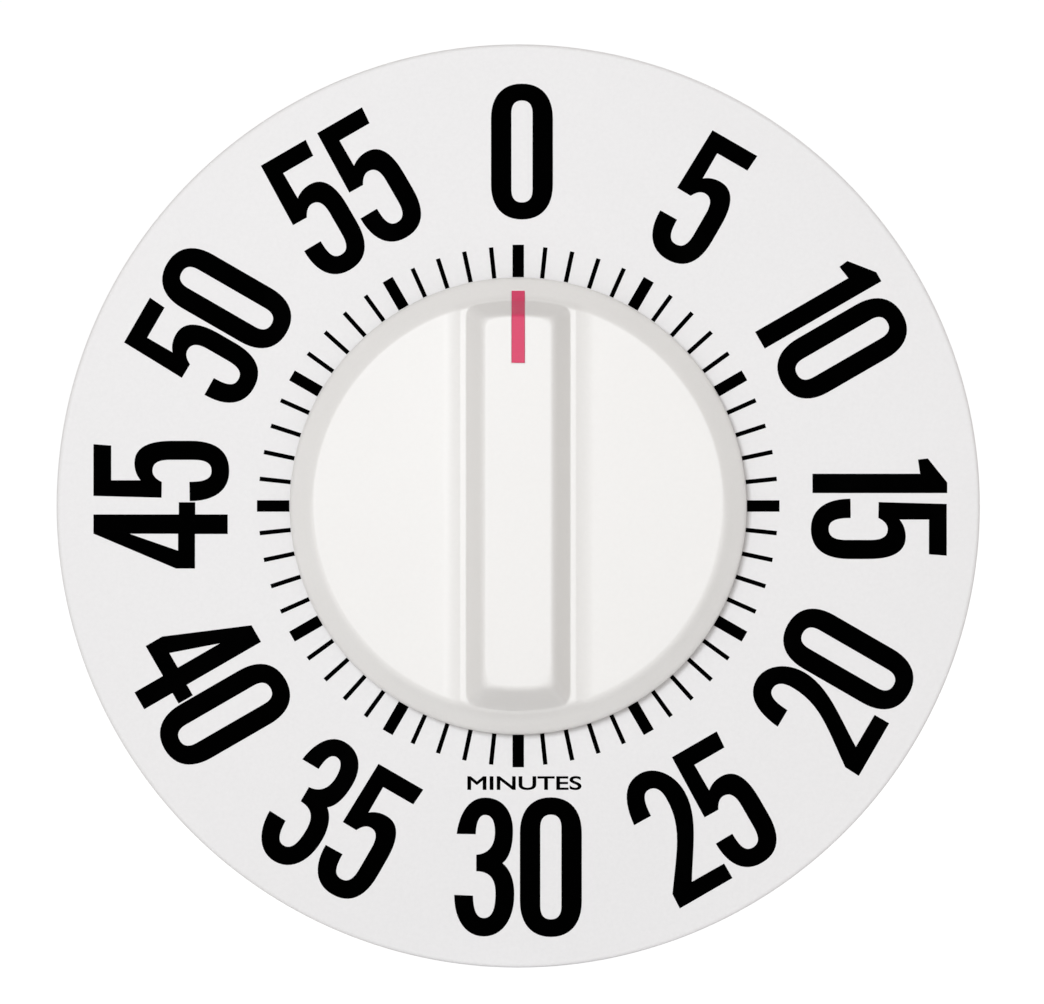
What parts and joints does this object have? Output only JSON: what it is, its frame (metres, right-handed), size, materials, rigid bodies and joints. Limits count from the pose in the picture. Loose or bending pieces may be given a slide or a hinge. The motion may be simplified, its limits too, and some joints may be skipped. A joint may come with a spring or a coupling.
{
  "type": "kitchen timer",
  "caption": "Round wind-up kitchen timer with a large flat numbered dial, a central grip-bar knob, a short rear case with magnets and a fold-out wire stand.",
  "frame": {"origin": "centre of the rear face, on the knob's axis, in the plane that lies against a steel door", "axes": "+Y points out of the rear face, away from the viewer; +Z points from the axis to the dial's zero; +X is to the viewer's right"},
  "size_m": [0.178, 0.056, 0.178],
  "materials": {
    "white_dial": "fine satin grain",
    "white_knob": "smooth satin",
    "white_case": "satin moulded",
    "red_plastic": "satin",
    "plated_steel": "zinc plated",
    "blued_steel": "tempered spring steel",
    "brass": "stamped",
    "ferrite": "sintered, dark grey",
    "vinyl": "soft matt"
  },
  "bodies": {
    "housing": {"dial_plate": "white_dial", "rear_case": "white_case", "case_screw_right": "plated_steel", "case_screw_top": "plated_steel", "case_screw_left": "plated_steel", "case_screw_bottom": "plated_steel", "magnet_left": "ferrite", "magnet_right": "ferrite", "magnet_bottom": "ferrite", "front_plate": "brass", "back_plate": "brass", "pillar_1": "plated_steel", "pillar_2": "plated_steel", "pillar_3": "plated_steel", "pillar_4": "plated_steel", "pillar_nut_1": "plated_steel", "pillar_nut_2": "plated_steel", "pillar_nut_3": "plated_steel", "pillar_nut_4": "plated_steel", "movement_screw_1": "plated_steel", "movement_screw_2": "plated_steel", "movement_screw_3": "plated_steel", "mainspring": "blued_steel", "lever_stud": "plated_steel", "hammer_spring": "blued_steel", "bell": "plated_steel", "bell_post": "plated_steel", "bell_screw": "plated_steel"},
    "knob_shaft": {"knob": "white_knob", "pointer_inlay": "red_plastic", "knob_clip": "blued_steel", "main_arbor": "plated_steel", "ratchet_wheel": "plated_steel", "strike_cam": "plated_steel"},
    "great_wheel": {"great_wheel": "brass", "click_rivet": "plated_steel", "click_spring": "blued_steel"},
    "click": {"click": "plated_steel"},
    "second_wheel": {"second_pinion": "plated_steel", "second_wheel": "brass", "ring_star": "brass"},
    "third_wheel": {"third_pinion": "plated_steel", "third_wheel": "brass"},
    "escape_wheel": {"escape_pinion": "plated_steel", "escape_wheel": "brass"},
    "anchor": {"anchor": "plated_steel", "anchor_arbor": "plated_steel", "inertia_bar": "brass"},
    "strike_lever": {"strike_lever": "plated_steel"},
    "hammer": {"hammer_arbor": "plated_steel", "hammer_tail": "plated_steel", "hammer_arm": "plated_steel", "hammer_head": "brass"},
    "stand": {"stand_wire": "plated_steel", "stand_sleeve": "vinyl"}
  },
  "joints": [
    {"name": "knob_turn", "type": "hinge", "parent": "housing", "child": "knob_shaft", "pos_m": [0, -0.045, 0], "axis": [0, 1, 0], "range_deg": [0, 355]},
    {"name": "great_wheel_turn", "type": "hinge", "parent": "housing", "child": "great_wheel", "pos_m": [0, -0.0304, 0], "axis": [0, 1, 0], "range_deg": [0, 355]},
    {"name": "second_wheel_turn", "type": "hinge", "parent": "housing", "child": "second_wheel", "pos_m": [-0.02312, -0.024, -0.00841], "axis": [0, 1, 0], "range_deg": [-2556, 0]},
    {"name": "third_wheel_turn", "type": "hinge", "parent": "housing", "child": "third_wheel", "pos_m": [-0.01859, -0.024, -0.02532], "axis": [0, 1, 0], "range_deg": [0, 15336]},
    {"name": "escape_wheel_turn", "type": "hinge", "parent": "housing", "child": "escape_wheel", "pos_m": [-0.00464, -0.024, -0.0241], "axis": [0, 1, 0], "range_deg": [-92016, 0]},
    {"name": "click_lift", "type": "hinge", "parent": "great_wheel", "child": "click", "pos_m": [0.00634, -0.0288, 0.01192], "axis": [0, -1, 0], "range_deg": [0, 8], "stiffness_Nm_per_rad": 0.002, "springref_deg": -5.73},
    {"name": "anchor_rock", "type": "hinge", "parent": "housing", "child": "anchor", "pos_m": [0.00507, -0.024, -0.02581], "axis": [0, 1, 0], "range_deg": [-4, 4]},
    {"name": "strike_lever_lift", "type": "hinge", "parent": "housing", "child": "strike_lever", "pos_m": [-0.013, -0.0165, 0.0105], "axis": [0, 1, 0], "range_deg": [-2, 3], "stiffness_Nm_per_rad": 0.005},
    {"name": "hammer_swing", "type": "hinge", "parent": "housing", "child": "hammer", "pos_m": [-0.03, -0.0165, 0.009], "axis": [0, 1, 0], "range_deg": [-2.3, 9], "stiffness_Nm_per_rad": 0.01},
    {"name": "stand_fold", "type": "hinge", "parent": "housing", "child": "stand", "pos_m": [0, -0.002, 0.012], "axis": [1, 0, 0], "range_deg": [0, 35]}
  ],
  "couplings": [
    {"joint": "great_wheel_turn", "follows": "knob_turn", "ratio": 1},
    {"joint": "second_wheel_turn", "follows": "knob_turn", "ratio": -7.2},
    {"joint": "third_wheel_turn", "follows": "knob_turn", "ratio": 43.2},
    {"joint": "escape_wheel_turn", "follows": "knob_turn", "ratio": -259.2}
  ]
}
